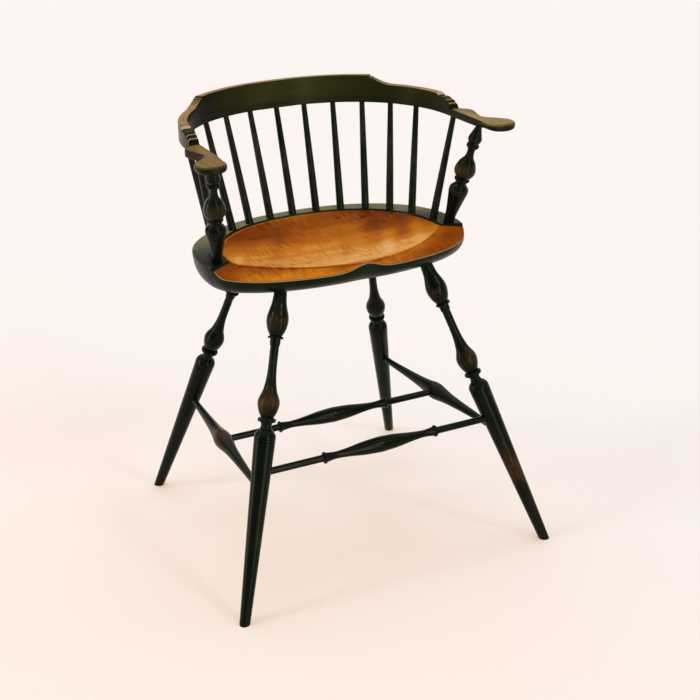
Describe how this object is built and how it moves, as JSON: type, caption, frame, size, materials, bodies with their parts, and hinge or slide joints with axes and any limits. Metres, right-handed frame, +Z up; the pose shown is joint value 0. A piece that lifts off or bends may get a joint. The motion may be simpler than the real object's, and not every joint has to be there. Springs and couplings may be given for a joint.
{
  "type": "tavern armchair",
  "caption": "Counter-height low-back wooden armchair with a saddled plank seat, splayed turned legs with stretchers, turned arm posts, tapered spindles, sawn arms and a stepped crest.",
  "frame": {"origin": "on the floor, under the middle of the four feet", "axes": "+Z up; the sitter faces -Y; +X is on the right as seen from in front of the chair"},
  "size_m": [0.6728, 0.6121, 0.871],
  "materials": {
    "maple": "amber stained curly maple, satin varnish",
    "paint": "dark green-black paint over red, rubbed through on the high spots, satin"
  },
  "bodies": {
    "root": {"seat": "maple", "leg_front_left": "paint", "leg_front_right": "paint", "leg_rear_left": "paint", "leg_rear_right": "paint", "side_stretcher_left": "paint", "side_stretcher_right": "paint", "medial_stretcher": "paint", "front_stretcher": "paint", "arm_post_left": "paint", "arm_post_right": "paint", "spindle_01": "paint", "spindle_02": "paint", "spindle_03": "paint", "spindle_04": "paint", "spindle_05": "paint", "spindle_06": "paint", "spindle_07": "paint", "spindle_08": "paint", "spindle_09": "paint", "spindle_10": "paint", "spindle_11": "paint", "spindle_12": "paint", "spindle_13": "paint", "arm_left": "paint", "arm_right": "paint", "crest": "paint", "crest_peg_left": "paint", "crest_peg_right": "paint"}
  },
  "joints": []
}
